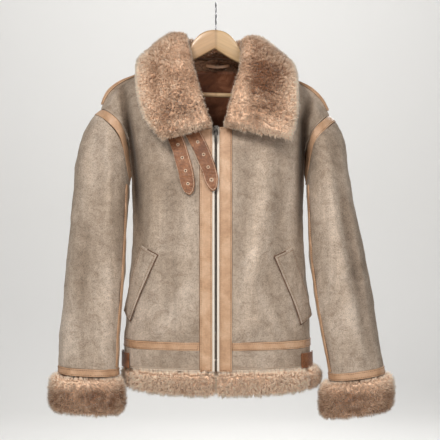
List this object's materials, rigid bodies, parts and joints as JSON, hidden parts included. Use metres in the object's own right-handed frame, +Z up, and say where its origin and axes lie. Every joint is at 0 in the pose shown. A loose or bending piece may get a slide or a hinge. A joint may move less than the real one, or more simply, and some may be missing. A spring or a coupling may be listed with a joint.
{
  "type": "sheepskin flying jacket on a wooden hanger",
  "caption": "Hip-length sheepskin flying jacket, suede side out, with a wide fur collar, fur hem and cuffs, a front zip and collar straps, hanging on a wooden coat hanger.",
  "frame": {"origin": "top of the inside of the hanger's hook, where a rail carries it", "axes": "+X to the right seen from the front, +Y to the jacket's back, +Z up; the front faces -Y"},
  "size_m": [0.675, 0.2694, 0.8223],
  "materials": {
    "suede": "matt suede face of sheepskin",
    "tan_leather": "smooth leather tape",
    "fur": "dense wool pile",
    "brown_leather": "waxed leather",
    "lining": "smooth dark lining",
    "zip_tape": "woven tape",
    "zip_metal": "darkened metal",
    "wood": "clear satin lacquer",
    "steel": "polished wire"
  },
  "bodies": {
    "jacket": {"front_left": "suede", "front_right": "suede", "back": "suede", "sleeve_left": "suede", "sleeve_right": "suede", "waistband_left": "suede", "waistband_right": "suede", "waistband_back": "suede", "pocket_welt_left": "suede", "pocket_welt_right": "suede", "armhole_tape_left": "tan_leather", "armhole_tape_right": "tan_leather", "cuff_tape_left": "tan_leather", "cuff_tape_right": "tan_leather", "shoulder_tape_left": "tan_leather", "shoulder_tape_right": "tan_leather", "sleeve_seam_tape_left": "tan_leather", "sleeve_seam_tape_right": "tan_leather", "placket_left": "tan_leather", "placket_right": "tan_leather", "waist_tape_left": "tan_leather", "waist_tape_right": "tan_leather", "waist_tape_back": "tan_leather", "collar": "fur", "hem_fur_left": "fur", "hem_fur_right": "fur", "hem_fur_back": "fur", "cuff_fur_left": "fur", "cuff_fur_right": "fur", "collar_strap_outer": "brown_leather", "collar_strap_inner": "brown_leather", "side_tab_left": "brown_leather", "side_tab_right": "brown_leather", "hang_loop": "brown_leather", "lining_back": "lining", "zip_tape_left": "zip_tape", "zip_tape_right": "zip_tape", "zip_teeth": "zip_metal", "zip_slider": "zip_metal", "hanger_board": "wood", "hanger_bar": "wood", "hanger_hook": "steel"},
    "zip_pull": {"zip_pull": "zip_metal"}
  },
  "joints": [
    {"name": "pull_swing", "type": "hinge", "parent": "jacket", "child": "zip_pull", "pos_m": [0, -0.104, -0.26], "axis": [-1, 0, 0], "range_deg": [0, 80]}
  ]
}
